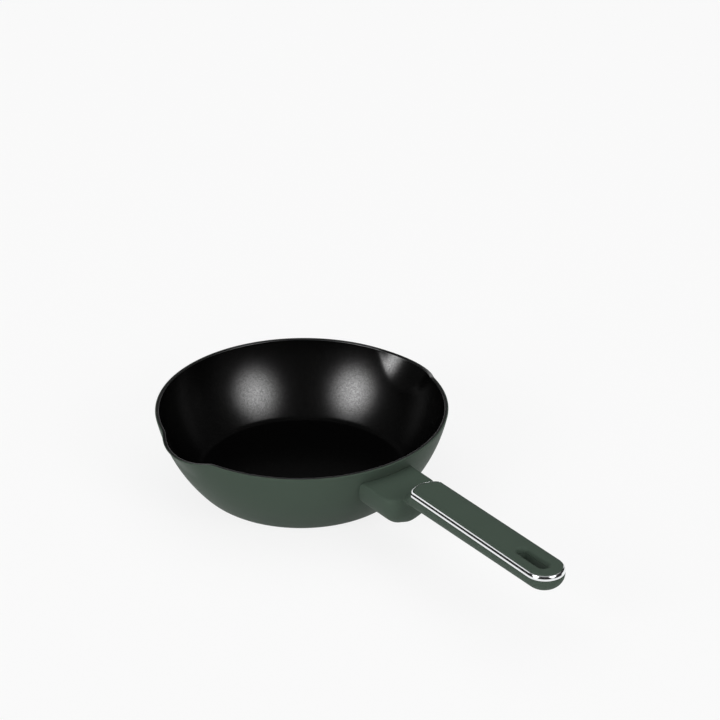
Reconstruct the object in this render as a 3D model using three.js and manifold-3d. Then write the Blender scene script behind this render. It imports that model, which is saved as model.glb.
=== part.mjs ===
// Deep frying pan: a cast bowl with two pouring lips, an induction plate pressed into its base, and a
// moulded handle with a bright trim band, held on a welded wall bracket by one screw from below.
// Millimetres. Origin: centre of the standing face. +X along the handle, +Y through a lip, +Z up.
import * as THREE from "three";
import { mergeVertices } from "three/addons/utils/BufferGeometryUtils.js";
import Module from "manifold-3d";

// Bowl
const RIM_RADIUS = 120;
const PAN_HEIGHT = 66.3;
const WALL_THICKNESS = 3.2;
const RIM_ROUNDING = 0.8;
const WALL_BULGE = 4.3; // how far the wall swells outside the straight line from corner to rim
const BASE_RADIUS = 82.5; // flat standing face
const CORNER_WIDTH = 8; // base corner, measured outwards
const CORNER_HEIGHT = 6; // base corner, measured upwards
const FLOOR_THICKNESS = 5.5;
const FLOOR_FILLET = 3.4; // flat left off the floor's edge by the inner fillet

// Pouring lips
const LIP_TURNS = [94.5, 270.7]; // degrees round the rim from the handle to the middle of each lip
const LIP_HALF_ANGLE = 16.1; // degrees of rim on each side of the lip's middle
const LIP_REACH = 6.9; // how far the lip stands out of the rim circle
const LIP_DIP = 4.2; // how far the rim sinks at the lip's middle
const LIP_DEPTH = 25.6; // height over which the groove narrows and runs out
const LIP_FADE = 1.6; // how soon the groove gets shallow below the rim: 1 is evenly, more is sooner

// Induction plate
const PLATE_RADIUS = 68;
const PLATE_THICKNESS = 1.2;
const PERFORATION_RADIUS = 2.6;
const PERFORATION_RINGS = 3;
const PERFORATION_FIRST_RING = 22;
const PERFORATION_RING_STEP = 16;
const PERFORATIONS_PER_RING = 6; // the first ring has this many, and each ring outwards as many more

// Handle root, the wide block against the wall
const ROOT_DROP = 10.8; // from the rim down to the root's flat top
const ROOT_HEIGHT = 30.5;
const ROOT_HALF_WIDTH = 25.4;
const ROOT_REACH = 35.4; // from the rim circle to the middle of the root's front
const ROOT_FRONT_SWELL = 3.6; // how far the front's middle stands out of its corners
const ROOT_CORNER = 10.9; // plan radius of the front corners
const ROOT_TOP_EDGE = 2.2; // rounding of the top edge
const ROOT_FRONT_TUCK = 15.4; // how far the front runs in under the root
const ROOT_SECTION_POWER = 2.1; // 2 is an ellipse, more is squarer

// Grip
const GRIP_STEP = 4.1; // from the root's front to the band's front
const GRIP_LENGTH = 169.2; // from the band's front to the end of the grip
const GRIP_RISE = 12.9; // from the root's top to the top of the band
const GRIP_HALF_WIDTH = 15.3; // at the front
const GRIP_END_RADIUS = 16; // half-round end, and so half the width there
const GRIP_FRONT_SWELL = 3.6; // how far the front's middle stands out of its corners
const GRIP_FRONT_CORNER = 5; // plan radius of the front corners
const GRIP_DEPTH_FRONT = 15.6; // below the band
const GRIP_DEPTH_END = 13; // below the band
const GRIP_RAKE = 1; // run of the sloping front for each millimetre of height
const GRIP_SECTION_POWER = 2.3; // 2 is an ellipse, more is squarer
const CORNER_LEAN = 0.25; // part of a front corner's radius that leans into the swelling front

// Trim band
const BAND_HEIGHT = 4;
const BAND_RIM = 1.6; // width of the band seen from above
const BAND_SHOULDER = 2.2; // height of the outer shoulder, a flat chamfer below and a rounding above
const BAND_CHAMFER_HEIGHT = 1.1;
const BAND_CHAMFER_RUN = 0.5;
const BAND_CREST = 0.3; // height over which the rounding still climbs to the cover
const FLANGE_WIDTH = 3; // inner flange that the cover sits on
const FLANGE_THICKNESS = 1.6;

// Grip cover
const COVER_CROWN = 0.6; // the middle stands this much above the band
const COVER_CROWN_RUN = 5; // width of the crowned edge
const BOSS_RADIUS = 4;
const BOSS_LENGTH = 4.5;

// Hanging slot
const SLOT_SETBACK = 29.4; // from the grip's end to the slot's middle
const SLOT_LENGTH = 33;
const SLOT_WIDTH = 9.6;
const SLOT_LIP = 2.2; // rounded lip round both mouths, measured outwards
const SLOT_LIP_DEPTH = 3.4; // the same lip, measured into the slot

// Wall bracket
const PAD_THICKNESS = 2;
const PAD_HALF_WIDTH = 15;
const PAD_HEIGHT = 16;
const TONGUE_THICKNESS = 4;
const TONGUE_HALF_WIDTH = 9;
const TONGUE_REACH = 24; // from the rim circle outwards
const TONGUE_DROP = 12; // from the root's top to the tongue's middle

// Fixing screw and its washer
const SCREW_RADIUS = 2.5;
const SCREW_HEAD_RADIUS = 4.5;
const SCREW_HEAD_HEIGHT = 3;
const SCREW_SETBACK = 8; // from the tongue's tip to the screw
const SCREW_SEAT = 5; // moulding left between the tongue and the washer
const SCREW_PAST_TONGUE = 3;
const WASHER_THICKNESS = 1.2;
const WASHER_WIDTH = 1.5;
const WASHER_SPLIT = 14; // degrees

// Cover screws
const COVER_SCREW_RADIUS = 1.5;
const COVER_SCREW_HEAD_RADIUS = 3;
const COVER_SCREW_HEAD_HEIGHT = 2;
const COVER_SCREW_SEAT = 3.5; // moulding left between the boss and the screw head
const COVER_SCREW_BITE = 5; // length of thread in the boss
const COVER_SCREW_FROM_FRONT = 34;
const COVER_SCREW_FROM_SLOT = 16;

// Screw heads, as parts of the head's height or radius
const HEAD_CROWN = 0.3; // height of the rounded edge
const DRIVE_REACH = 0.6; // cross recess, from the middle to the end of a wing
const DRIVE_HALF_WIDTH = 0.15;
const DRIVE_DEPTH = 0.55;

// Clearances
const FIT_GAP = 0.3; // between pieces that touch
const TOOL_GAP = 0.6; // round a screw head
const CUT_MARGIN = 5; // how far a cutter runs past the surface it cuts

// Facets
const BOWL_FACETS = 88;
const WALL_STEPS = 10;
const CORNER_STEPS = 4;
const ROUND_FACETS = 24;
const PLATE_FACETS = 44;
const PERFORATION_FACETS = 10;
const OUTLINE_STEPS = 9;
const SLOT_STEPS = 5;
const SECTION_LEVELS = 8;
const SHOULDER_STEPS = 4;
const LAST_LEVEL_ANGLE = 80; // degrees of the section's quarter turn, where its flat bottom begins
const WELD = 1e-4;

// Finishes
const GREEN_LACQUER = { color: 0x475249, roughness: 0.55, metalness: 0 };
const GREEN_SOFT_TOUCH = { color: 0x444f46, roughness: 0.65, metalness: 0 };
const CHROME = { color: 0xe6e8ea, roughness: 0.08, metalness: 1 };
const PLATE_STEEL = { color: 0xb4b6b8, roughness: 0.35, metalness: 1 };
const BRACKET_STEEL = { color: 0x8f9296, roughness: 0.45, metalness: 1 };
const SCREW_STEEL = { color: 0xc2c5c8, roughness: 0.3, metalness: 1 };

// Places that several pieces share, in the pan's frame
const rootTop = PAN_HEIGHT - ROOT_DROP;
const tongueMiddle = rootTop - TONGUE_DROP;
const tongueTop = tongueMiddle + TONGUE_THICKNESS / 2;
const tongueBottom = tongueMiddle - TONGUE_THICKNESS / 2;
const tongueTip = RIM_RADIUS + TONGUE_REACH;
const screwX = tongueTip - SCREW_SETBACK;
const washerSeat = tongueBottom - SCREW_SEAT;
const gripFront = RIM_RADIUS + ROOT_REACH + GRIP_STEP;
const gripEnd = gripFront + GRIP_LENGTH;
const endCentre = gripEnd - GRIP_END_RADIUS;
const bandTop = rootTop + GRIP_RISE;
const bandBottom = bandTop - BAND_HEIGHT;
const ledge = bandBottom - FIT_GAP;
const coverInset = BAND_RIM + FIT_GAP;
const plugInset = BAND_RIM + FLANGE_WIDTH + FIT_GAP;
const coverUnderside = bandBottom + FLANGE_THICKNESS + FIT_GAP;
const plugUnderside = ledge + FIT_GAP;
const bossEnd = plugUnderside - BOSS_LENGTH;
const bossSocketEnd = bossEnd - FIT_GAP;
const coverScrewSeat = bossSocketEnd - COVER_SCREW_SEAT;
const slotMiddle = gripEnd - SLOT_SETBACK;
const coverScrewFrontX = gripFront + COVER_SCREW_FROM_FRONT;
const coverScrewRearX = slotMiddle - SLOT_LENGTH / 2 - COVER_SCREW_FROM_SLOT;

const wasm = await Module();
wasm.setup();

// A closed geometry as a solid that can be joined and cut.
function solidOf(geometry) {
  const bare = geometry.clone();
  bare.deleteAttribute("normal");
  bare.deleteAttribute("uv");
  const welded = mergeVertices(bare, WELD);
  const corners = welded.index.array;
  const triangles = [];
  for (let i = 0; i < corners.length; i += 3) {
    const [a, b, c] = corners.slice(i, i + 3);
    if (a !== b && b !== c && c !== a) triangles.push(a, b, c);
  }
  const mesh = new wasm.Mesh({
    numProp: 3,
    vertProperties: welded.attributes.position.array,
    triVerts: new Uint32Array(triangles),
  });
  return new wasm.Manifold(mesh);
}

function geometryOf(solid) {
  const mesh = solid.getMesh();
  const geometry = new THREE.BufferGeometry();
  geometry.setAttribute("position", new THREE.BufferAttribute(mesh.vertProperties, 3));
  geometry.setIndex(new THREE.BufferAttribute(mesh.triVerts, 1));
  geometry.computeVertexNormals();
  return geometry;
}

// Adds one sub-part to a group, at a place in that group.
function addPart(group, name, solid, finish, place = [0, 0, 0]) {
  const mesh = new THREE.Mesh(geometryOf(solid), new THREE.MeshStandardMaterial(finish));
  mesh.name = name;
  mesh.position.set(...place);
  group.add(mesh);
}

// A solid of revolution about +Z. The profile runs counterclockwise, radius first and height second.
function revolve(profile, facets) {
  const points = profile.map(([radius, height]) => new THREE.Vector2(radius, height));
  return new THREE.LatheGeometry(points, facets).rotateX(Math.PI / 2);
}

// A round bar about +Z, from one height to another.
function roundBar(radius, bottom, top, x = 0) {
  const profile = [
    [0, bottom],
    [radius, bottom],
    [radius, top],
    [0, top],
  ];
  return solidOf(revolve(profile, ROUND_FACETS).translate(x, 0, 0));
}

// A block between two corners.
function block(low, high) {
  const size = high.map((value, axis) => value - low[axis]);
  const middle = high.map((value, axis) => (value + low[axis]) / 2);
  return solidOf(new THREE.BoxGeometry(...size).translate(...middle));
}

// A skin over rings of equal length, each counterclockwise seen from above and listed upwards on the
// outside. With flat ends it is a solid block, and as a loop the last ring joins the first.
function loft(rings, loop = false) {
  const count = rings[0].length;
  const index = [];
  const spans = loop ? rings.length : rings.length - 1;
  for (let level = 0; level < spans; level++) {
    const below = level * count;
    const above = ((level + 1) % rings.length) * count;
    for (let i = 0; i < count; i++) {
      const next = (i + 1) % count;
      index.push(below + i, below + next, above + next);
      index.push(below + i, above + next, above + i);
    }
  }
  if (!loop) {
    const top = (rings.length - 1) * count;
    const flatOf = (ring) => ring.map((point) => new THREE.Vector2(point.x, point.y));
    for (const [a, b, c] of THREE.ShapeUtils.triangulateShape(flatOf(rings[0]), [])) {
      index.push(c, b, a);
    }
    for (const [a, b, c] of THREE.ShapeUtils.triangulateShape(flatOf(rings.at(-1)), [])) {
      index.push(top + a, top + b, top + c);
    }
  }
  const geometry = new THREE.BufferGeometry().setFromPoints(rings.flat());
  return solidOf(geometry.setIndex(index));
}

// The quarter turn of a rounded section: how far down each level lies, and how much width is left.
function sectionLevels(power) {
  const levels = [];
  for (let i = 0; i <= SECTION_LEVELS; i++) {
    const angle = THREE.MathUtils.degToRad((LAST_LEVEL_ANGLE * i) / SECTION_LEVELS);
    levels.push({
      drop: Math.sin(angle) ** (2 / power),
      width: Math.cos(angle) ** (2 / power),
    });
  }
  return levels;
}

// The curve of the bowl's wall from base corner to rim, moved inwards by an inset.
function wallCurve(inset) {
  const foot = new THREE.Vector2(BASE_RADIUS + CORNER_WIDTH, CORNER_HEIGHT);
  const rim = new THREE.Vector2(RIM_RADIUS, PAN_HEIGHT - RIM_ROUNDING);
  const chord = rim.clone().sub(foot).normalize();
  const outward = new THREE.Vector2(chord.y, -chord.x);
  const belly = foot.clone().lerp(rim, 0.5).addScaledVector(outward, 2 * WALL_BULGE);
  const rise = belly.clone().sub(foot).normalize();
  foot.add(new THREE.Vector2(-rise.y, rise.x).multiplyScalar(inset));
  belly.addScaledVector(outward, -inset);
  rim.x -= inset;
  return new THREE.QuadraticBezierCurve(foot, belly, rim);
}

// The rounded corner that leads from a flat at one height into the foot of a wall curve.
function cornerCurve(flatEdge, height, wall) {
  const rise = wall.v1.clone().sub(wall.v0);
  const meet = wall.v0.x - ((wall.v0.y - height) * rise.x) / rise.y;
  const start = new THREE.Vector2(flatEdge, height);
  return new THREE.QuadraticBezierCurve(start, new THREE.Vector2(meet, height), wall.v0);
}

// Outside of the bowl without its lips, filled and grown by a gap, for pieces that fit against it.
function bowlOutside(gap) {
  const wall = wallCurve(-gap);
  const corner = cornerCurve(BASE_RADIUS, -gap, wall).getPoints(CORNER_STEPS);
  const side = wall.getPoints(WALL_STEPS).slice(1);
  const profile = [[0, -gap]];
  for (const point of [...corner, ...side]) profile.push([point.x, point.y]);
  profile.push([0, PAN_HEIGHT - RIM_ROUNDING]);
  return solidOf(revolve(profile, BOWL_FACETS));
}

// Degrees round the rim from a point of the bowl to the middle of the nearer lip.
function turnFromLip(point) {
  const around = Math.atan2(point.y, point.x);
  const turns = LIP_TURNS.map((middle) => Math.acos(Math.cos(around - THREE.MathUtils.degToRad(middle))));
  return THREE.MathUtils.radToDeg(Math.min(...turns));
}

// Draws the rim out and down into two lips: round grooves that narrow and run out down the wall.
function drawLips(geometry) {
  const place = geometry.attributes.position;
  const point = new THREE.Vector3();
  for (let i = 0; i < place.count; i++) {
    point.fromBufferAttribute(place, i);
    const strength = Math.max(0, 1 - (PAN_HEIGHT - point.z) / LIP_DEPTH);
    const radius = Math.hypot(point.x, point.y);
    const turn = turnFromLip(point);
    const halfAngle = LIP_HALF_ANGLE * Math.cbrt(strength);
    if (turn >= halfAngle) continue;
    const swell = strength ** LIP_FADE * (1 - (turn / halfAngle) ** 2);
    const grow = (radius + LIP_REACH * swell) / radius;
    place.setXYZ(i, point.x * grow, point.y * grow, point.z - LIP_DIP * swell);
  }
  return geometry;
}

function panBody() {
  const outer = wallCurve(0);
  const inner = wallCurve(WALL_THICKNESS);
  const rise = inner.v1.clone().sub(inner.v0);
  const floorMeet = inner.v0.x - ((inner.v0.y - FLOOR_THICKNESS) * rise.x) / rise.y;
  const floorCorner = cornerCurve(floorMeet - FLOOR_FILLET, FLOOR_THICKNESS, inner);
  const pocketRadius = PLATE_RADIUS + FIT_GAP;
  const pocketDepth = PLATE_THICKNESS + FIT_GAP;
  const outside = [
    ...cornerCurve(BASE_RADIUS, 0, outer).getPoints(CORNER_STEPS),
    ...outer.getPoints(WALL_STEPS).slice(1),
  ];
  const inside = [
    ...floorCorner.getPoints(CORNER_STEPS),
    ...inner.getPoints(WALL_STEPS).slice(1),
  ].reverse();
  const profile = [
    [0, pocketDepth],
    [pocketRadius, pocketDepth],
    [pocketRadius, 0],
    ...outside.map((point) => [point.x, point.y]),
    [RIM_RADIUS - RIM_ROUNDING, PAN_HEIGHT],
    [RIM_RADIUS - WALL_THICKNESS + RIM_ROUNDING, PAN_HEIGHT],
    ...inside.map((point) => [point.x, point.y]),
    [0, FLOOR_THICKNESS],
  ];
  return solidOf(drawLips(revolve(profile, BOWL_FACETS)));
}

// A regular ring of corners, counterclockwise.
function circlePoints(radius, facets, x = 0, y = 0) {
  return Array.from({ length: facets }, (_, i) => {
    const angle = (2 * Math.PI * i) / facets;
    return new THREE.Vector2(x + radius * Math.cos(angle), y + radius * Math.sin(angle));
  });
}

function inductionPlate() {
  const disc = new THREE.Shape(circlePoints(PLATE_RADIUS, PLATE_FACETS));
  for (let ring = 0; ring < PERFORATION_RINGS; ring++) {
    const radius = PERFORATION_FIRST_RING + PERFORATION_RING_STEP * ring;
    const count = PERFORATIONS_PER_RING * (ring + 1);
    for (const hole of circlePoints(radius, count)) {
      const edge = circlePoints(PERFORATION_RADIUS, PERFORATION_FACETS, hole.x, hole.y);
      disc.holes.push(new THREE.Path(edge));
    }
  }
  const plate = new THREE.ExtrudeGeometry(disc, { depth: PLATE_THICKNESS, bevelEnabled: false });
  return solidOf(plate);
}

// Pad that follows the wall, with the tongue that the handle slides over. A gap above zero gives the
// room that the bracket needs in the handle.
function bracketForm(gap) {
  const padLow = tongueMiddle - PAD_HEIGHT / 2 - gap;
  const padHigh = tongueMiddle + PAD_HEIGHT / 2 + gap;
  const padWidth = PAD_HALF_WIDTH + gap;
  const shell = bowlOutside(FIT_GAP + PAD_THICKNESS + gap);
  const padZone = block([BASE_RADIUS, -padWidth, padLow], [tongueTip, padWidth, padHigh]);
  const tongueWidth = TONGUE_HALF_WIDTH + gap;
  const tongue = block(
    [BASE_RADIUS, -tongueWidth, tongueBottom - gap],
    [tongueTip + gap, tongueWidth, tongueTop + gap],
  );
  return shell.intersect(padZone).add(tongue);
}

function wallBracket() {
  const holeBottom = tongueBottom - CUT_MARGIN;
  const hole = roundBar(SCREW_RADIUS + FIT_GAP, holeBottom, tongueTop + CUT_MARGIN, screwX);
  return bracketForm(0).subtract(bowlOutside(FIT_GAP)).subtract(hole);
}

// Plan of the root at one level: straight sides from the bowl outwards and a swelling front.
function rootOutline(sideInset, frontInset, height) {
  const half = ROOT_HALF_WIDTH - sideInset;
  const front = RIM_RADIUS + ROOT_REACH - frontInset;
  const shoulder = front - ROOT_FRONT_SWELL;
  const corner = (ROOT_CORNER * half) / ROOT_HALF_WIDTH;
  const swellStart = shoulder + CORNER_LEAN * corner;
  const plan = new THREE.Path();
  plan.moveTo(BASE_RADIUS, -half);
  plan.lineTo(shoulder - corner, -half);
  plan.quadraticCurveTo(shoulder, -half, swellStart, corner - half);
  plan.quadraticCurveTo(2 * front - swellStart, 0, swellStart, half - corner);
  plan.quadraticCurveTo(shoulder, half, shoulder - corner, half);
  plan.lineTo(BASE_RADIUS, half);
  return plan.getPoints(OUTLINE_STEPS).map((point) => new THREE.Vector3(point.x, point.y, height));
}

function handleRoot() {
  const rings = [];
  for (const level of sectionLevels(ROOT_SECTION_POWER).reverse()) {
    const height = rootTop - ROOT_TOP_EDGE - (ROOT_HEIGHT - ROOT_TOP_EDGE) * level.drop;
    const sideInset = ROOT_HALF_WIDTH * (1 - level.width);
    rings.push(rootOutline(sideInset, ROOT_FRONT_TUCK * (1 - level.width), height));
  }
  for (let i = 1; i <= SHOULDER_STEPS; i++) {
    const angle = (Math.PI / 2) * (i / SHOULDER_STEPS);
    const inset = ROOT_TOP_EDGE * (1 - Math.cos(angle));
    rings.push(rootOutline(inset, inset, rootTop - ROOT_TOP_EDGE * (1 - Math.sin(angle))));
  }
  return loft(rings);
}

// Plan of the grip, counterclockwise: a swelling front with small corners, straight sides and a
// half-round end. Lower levels reach further back to the root, by a run of the front.
function gripOutline(inset, frontRun = 0) {
  const front = gripFront + inset - frontRun;
  const shoulder = front + GRIP_FRONT_SWELL;
  const half = GRIP_HALF_WIDTH - inset;
  const endRadius = GRIP_END_RADIUS - inset;
  const corner = (GRIP_FRONT_CORNER * half) / GRIP_HALF_WIDTH;
  const lean = CORNER_LEAN * corner;
  const swellStart = shoulder - lean;
  const plan = new THREE.Path();
  plan.moveTo(shoulder + corner, -half);
  plan.lineTo(endCentre, -endRadius);
  plan.absarc(endCentre, 0, endRadius, -Math.PI / 2, Math.PI / 2, false);
  plan.lineTo(shoulder + corner, half);
  plan.quadraticCurveTo(shoulder + lean, half, swellStart, half - corner);
  plan.quadraticCurveTo(2 * front - swellStart, 0, swellStart, corner - half);
  plan.quadraticCurveTo(shoulder + lean, -half, shoulder + corner, -half);
  const points = plan.getPoints(OUTLINE_STEPS);
  if (points[0].distanceTo(points.at(-1)) < WELD) points.pop();
  return points;
}

// One level of the grip's plan, flat at a height.
function gripRing(inset, height) {
  return gripOutline(inset).map((point) => new THREE.Vector3(point.x, point.y, height));
}

function gripDepth(x) {
  const along = THREE.MathUtils.clamp((x - gripFront) / GRIP_LENGTH, 0, 1);
  return THREE.MathUtils.lerp(GRIP_DEPTH_FRONT, GRIP_DEPTH_END, along);
}

function lowerGrip() {
  const rings = [];
  for (const level of sectionLevels(GRIP_SECTION_POWER).reverse()) {
    const inset = GRIP_HALF_WIDTH * (1 - level.width);
    const run = GRIP_RAKE * GRIP_DEPTH_FRONT * level.drop + inset;
    const ring = gripOutline(inset, run).map(
      (point) => new THREE.Vector3(point.x, point.y, ledge - gripDepth(point.x) * level.drop),
    );
    rings.push(ring);
  }
  return loft(rings);
}

// A slot with half-round ends and a flared mouth, from one height to another.
function slotCutter(bottom, top, flareBottom, flareTop) {
  const ring = (flare, height) => {
    const radius = SLOT_WIDTH / 2 + flare;
    const reach = (SLOT_LENGTH - SLOT_WIDTH) / 2;
    const plan = new THREE.Path();
    plan.absarc(slotMiddle + reach, 0, radius, -Math.PI / 2, Math.PI / 2, false);
    plan.absarc(slotMiddle - reach, 0, radius, Math.PI / 2, 1.5 * Math.PI, false);
    return plan.getPoints(SLOT_STEPS).map((point) => new THREE.Vector3(point.x, point.y, height));
  };
  const mouth = [];
  for (let i = 0; i <= SHOULDER_STEPS; i++) {
    const angle = (Math.PI / 2) * (i / SHOULDER_STEPS);
    mouth.push({ flare: SLOT_LIP * (1 - Math.cos(angle)), depth: SLOT_LIP_DEPTH * (1 - Math.sin(angle)) });
  }
  const rings = [ring(flareBottom ? SLOT_LIP : 0, bottom - CUT_MARGIN)];
  if (flareBottom) {
    for (const step of mouth.toReversed()) rings.push(ring(step.flare, bottom + step.depth));
  }
  if (flareTop) {
    for (const step of mouth) rings.push(ring(step.flare, top - step.depth));
  }
  rings.push(ring(flareTop ? SLOT_LIP : 0, top + CUT_MARGIN));
  return loft(rings);
}

function handleBody() {
  let body = handleRoot().add(lowerGrip());
  body = body.subtract(bowlOutside(FIT_GAP));
  body = body.subtract(bracketForm(FIT_GAP));
  const rootBottom = rootTop - ROOT_HEIGHT;
  const screwTop = tongueTop + SCREW_PAST_TONGUE + FIT_GAP;
  const headRoom = SCREW_HEAD_RADIUS + TOOL_GAP;
  body = body.subtract(roundBar(SCREW_RADIUS + FIT_GAP, rootBottom, screwTop, screwX));
  body = body.subtract(roundBar(headRoom, rootBottom - CUT_MARGIN, washerSeat, screwX));
  const underside = ledge - GRIP_DEPTH_FRONT - CUT_MARGIN;
  const coverHeadRoom = COVER_SCREW_HEAD_RADIUS + TOOL_GAP;
  for (const x of [coverScrewFrontX, coverScrewRearX]) {
    body = body.subtract(roundBar(BOSS_RADIUS + FIT_GAP, bossSocketEnd, ledge + CUT_MARGIN, x));
    body = body.subtract(roundBar(COVER_SCREW_RADIUS + FIT_GAP, underside, ledge, x));
    body = body.subtract(roundBar(coverHeadRoom, underside, coverScrewSeat, x));
  }
  const slotUnderside = ledge - gripDepth(slotMiddle);
  return body.subtract(slotCutter(slotUnderside, ledge, true, false));
}

function trimBand() {
  const chamfer = new THREE.Vector2(BAND_CHAMFER_RUN, BAND_CHAMFER_HEIGHT);
  const foot = new THREE.Vector2(0, bandTop - BAND_SHOULDER);
  const climb = (BAND_SHOULDER - BAND_CREST) / BAND_CHAMFER_HEIGHT;
  const rounding = new THREE.QuadraticBezierCurve(
    foot.clone().add(chamfer),
    foot.clone().addScaledVector(chamfer, climb),
    new THREE.Vector2(BAND_RIM, bandTop),
  );
  const rings = [gripRing(0, bandBottom), gripRing(0, foot.y)];
  for (const point of rounding.getPoints(SHOULDER_STEPS)) rings.push(gripRing(point.x, point.y));
  const flangeTop = bandBottom + FLANGE_THICKNESS;
  rings.push(gripRing(BAND_RIM, flangeTop));
  rings.push(gripRing(BAND_RIM + FLANGE_WIDTH, flangeTop));
  rings.push(gripRing(BAND_RIM + FLANGE_WIDTH, bandBottom));
  return loft(rings, true);
}

function gripCover() {
  const rings = [gripRing(coverInset, coverUnderside), gripRing(coverInset, bandTop)];
  for (let i = 1; i <= SHOULDER_STEPS; i++) {
    const share = i / SHOULDER_STEPS;
    const height = bandTop + COVER_CROWN * Math.sin((Math.PI / 2) * share);
    rings.push(gripRing(coverInset + COVER_CROWN_RUN * share * share, height));
  }
  let cover = loft(rings);
  cover = cover.add(loft([gripRing(plugInset, plugUnderside), gripRing(plugInset, bandTop)]));
  for (const x of [coverScrewFrontX, coverScrewRearX]) {
    const biteTop = bossEnd + COVER_SCREW_BITE + FIT_GAP;
    cover = cover.add(roundBar(BOSS_RADIUS, bossEnd, bandTop, x));
    cover = cover.subtract(roundBar(COVER_SCREW_RADIUS + FIT_GAP, bossEnd - CUT_MARGIN, biteTop, x));
  }
  return cover.subtract(slotCutter(ledge, bandTop + COVER_CROWN, false, true));
}

// A screw about +Z with its head below: the shank starts at zero and the head hangs under it, with a
// cross recess for the driver.
function screw(radius, length, headRadius, headHeight) {
  const crown = HEAD_CROWN * headHeight;
  const tip = radius / 2;
  const profile = [
    [0, -headHeight],
    [headRadius - crown, -headHeight],
    [headRadius, crown - headHeight],
    [headRadius, 0],
    [radius, 0],
    [radius, length - tip],
    [tip, length],
    [0, length],
  ];
  const wing = DRIVE_REACH * headRadius;
  const web = DRIVE_HALF_WIDTH * headRadius;
  const under = -headHeight - CUT_MARGIN;
  const floor = DRIVE_DEPTH * headHeight - headHeight;
  const along = block([-wing, -web, under], [wing, web, floor]);
  const across = block([-web, -wing, under], [web, wing, floor]);
  return solidOf(revolve(profile, ROUND_FACETS)).subtract(along.add(across));
}

// A spring washer: a ring with a square section, split on one side.
function lockWasher() {
  const inner = SCREW_RADIUS + FIT_GAP;
  const outer = inner + WASHER_WIDTH;
  const from = THREE.MathUtils.degToRad(WASHER_SPLIT / 2);
  const to = 2 * Math.PI - from;
  const ring = new THREE.Shape();
  ring.absarc(0, 0, outer, from, to, false);
  ring.absarc(0, 0, inner, to, from, true);
  const options = { depth: WASHER_THICKNESS, bevelEnabled: false, curveSegments: ROUND_FACETS / 2 };
  return solidOf(new THREE.ExtrudeGeometry(ring, options));
}

const pan = new THREE.Group();
pan.name = "deep_frying_pan";

const bowl = new THREE.Group();
pan.add(bowl);
addPart(bowl, "pan_body", panBody(), GREEN_LACQUER);
addPart(bowl, "induction_plate", inductionPlate(), PLATE_STEEL);
addPart(bowl, "wall_bracket", wallBracket(), BRACKET_STEEL);

const handle = new THREE.Group();
pan.add(handle);
addPart(handle, "handle_body", handleBody(), GREEN_SOFT_TOUCH);
addPart(handle, "trim_band", trimBand(), CHROME);
addPart(handle, "grip_cover", gripCover(), GREEN_SOFT_TOUCH);

const washerBottom = washerSeat - FIT_GAP - WASHER_THICKNESS;
const screwHeadTop = washerBottom - FIT_GAP;
const screwLength = tongueTop + SCREW_PAST_TONGUE - screwHeadTop;
const fixingScrew = screw(SCREW_RADIUS, screwLength, SCREW_HEAD_RADIUS, SCREW_HEAD_HEIGHT);
addPart(handle, "fixing_screw", fixingScrew, SCREW_STEEL, [screwX, 0, screwHeadTop]);
addPart(handle, "lock_washer", lockWasher(), SCREW_STEEL, [screwX, 0, washerBottom]);

const coverScrewTop = coverScrewSeat - FIT_GAP;
const coverScrewLength = bossEnd + COVER_SCREW_BITE - coverScrewTop;
const coverScrews = { cover_screw_front: coverScrewFrontX, cover_screw_rear: coverScrewRearX };
for (const [name, x] of Object.entries(coverScrews)) {
  const form = screw(
    COVER_SCREW_RADIUS,
    coverScrewLength,
    COVER_SCREW_HEAD_RADIUS,
    COVER_SCREW_HEAD_HEIGHT,
  );
  addPart(handle, name, form, SCREW_STEEL, [x, 0, coverScrewTop]);
}

export default pan;
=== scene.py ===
# Deep frying pan: a cast aluminium bowl, black nonstick inside and green lacquer outside, with a moulded
# soft-touch handle that carries a chrome band. It stands on a pale floor in soft studio light. The pieces
# are drawn in millimetres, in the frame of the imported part.
import math

import bpy
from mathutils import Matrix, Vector


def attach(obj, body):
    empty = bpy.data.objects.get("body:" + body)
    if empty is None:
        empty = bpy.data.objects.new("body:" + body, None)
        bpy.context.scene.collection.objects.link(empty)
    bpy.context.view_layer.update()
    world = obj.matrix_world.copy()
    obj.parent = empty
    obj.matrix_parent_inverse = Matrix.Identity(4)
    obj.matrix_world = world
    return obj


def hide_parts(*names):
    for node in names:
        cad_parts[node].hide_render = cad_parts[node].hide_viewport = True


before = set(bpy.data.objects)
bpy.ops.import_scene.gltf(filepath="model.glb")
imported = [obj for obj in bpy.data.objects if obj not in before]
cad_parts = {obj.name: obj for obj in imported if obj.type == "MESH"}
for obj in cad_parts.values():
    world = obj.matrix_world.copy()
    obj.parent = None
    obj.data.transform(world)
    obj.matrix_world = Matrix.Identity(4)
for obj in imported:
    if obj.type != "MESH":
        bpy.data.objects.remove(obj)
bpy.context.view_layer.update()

# Pan body
# The bowl is one aluminium casting, turned to an even wall, with a pouring lip pressed out on each side.
# Green lacquer covers the outside and black nonstick coat the inside and the rim; the ring that the pan
# stands on, and the pocket for the induction plate, are turned bare.
MM = 0.001
RIM_RADIUS = 120
PAN_HEIGHT = 66.3
WALL_THICKNESS = 3.2
RIM_ROUNDING = 0.8
WALL_BULGE = 4.3
BASE_RADIUS = 82.5
CORNER_WIDTH = 8
CORNER_HEIGHT = 6
FLOOR_THICKNESS = 5.5
FLOOR_FILLET = 3.4
POCKET_RADIUS = 68.3
POCKET_DEPTH = 1.5
LIP_TURNS = (94.5, 270.7)
LIP_HALF_ANGLE = 16.1
LIP_REACH = 6.9
LIP_DIP = 4.2
LIP_DEPTH = 25.6
LIP_FADE = 1.6
LIP_NARROWING = 3
LIP_EASE = 0.12
CAP_RADIUS = 8
BOWL_CREASE = 40
BOWL_FACETS = 320
WALL_STEPS = 44
CORNER_STEPS = 12
RIM_STEPS = 6
FLAT_STEPS = 8


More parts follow.
